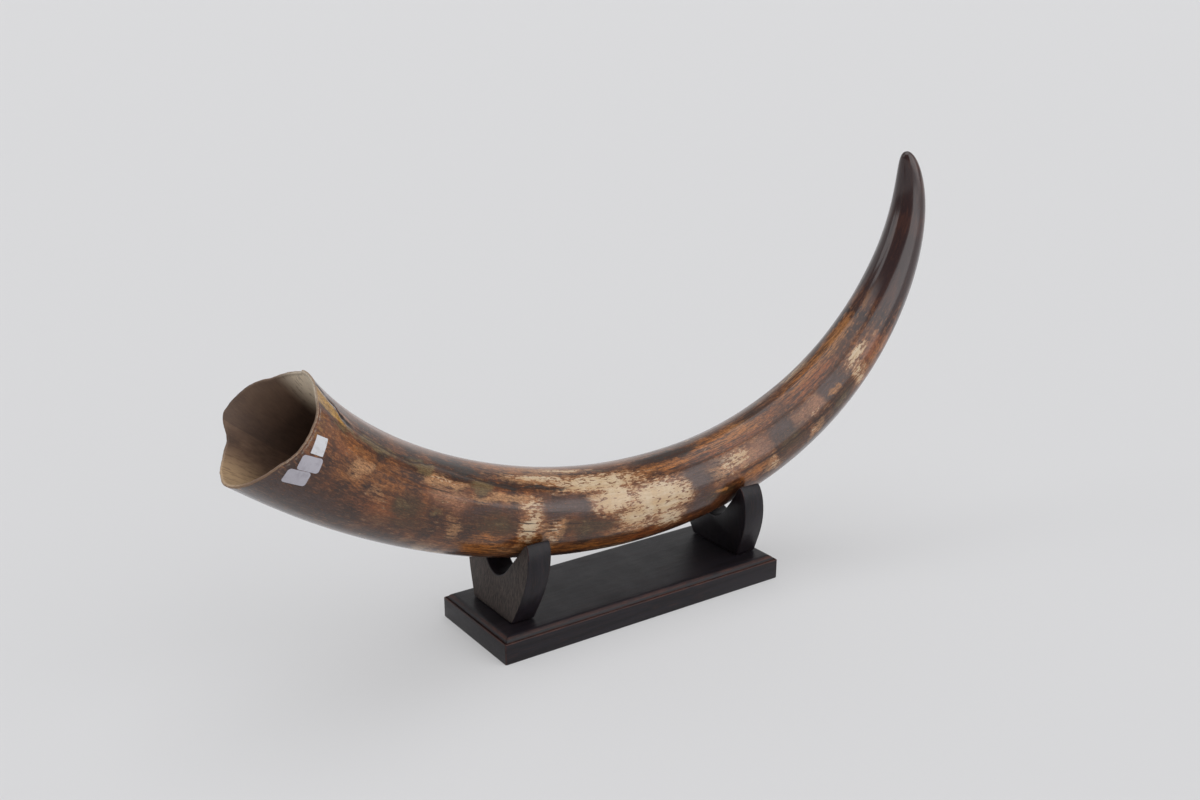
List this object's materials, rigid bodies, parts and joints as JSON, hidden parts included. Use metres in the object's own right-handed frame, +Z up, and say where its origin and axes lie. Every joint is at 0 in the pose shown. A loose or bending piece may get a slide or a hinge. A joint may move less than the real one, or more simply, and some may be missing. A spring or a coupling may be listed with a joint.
{
  "type": "mammoth tusk on a stand",
  "caption": "Hollow-rooted, upward-curving mammoth tusk resting across a small moulded board with notched wooden cradles.",
  "frame": {"origin": "centre of the board's flat underside, on the surface that the stand rests on", "axes": "+Z up; +X along the board and the tusk, from the hollow root end towards the tip; +Y across the board, away from the side that carries the stickers"},
  "size_m": [0.5477, 0.0875, 0.2807],
  "materials": {
    "ivory_bark": "varnished, glossy, mottled brown and cream tusk bark, nearly black at the tip",
    "black_wood": "satin black stain over red-brown hardwood, edges rubbed",
    "white_paper": "matte sticker paper",
    "grey_paper": "matte sticker paper, pale lilac grey"
  },
  "bodies": {
    "root": {"tusk": "ivory_bark", "stand_board": "black_wood", "cradle_near": "black_wood", "cradle_far": "black_wood", "sticker_small": "white_paper", "sticker_upper": "grey_paper", "sticker_lower": "grey_paper"}
  },
  "joints": []
}
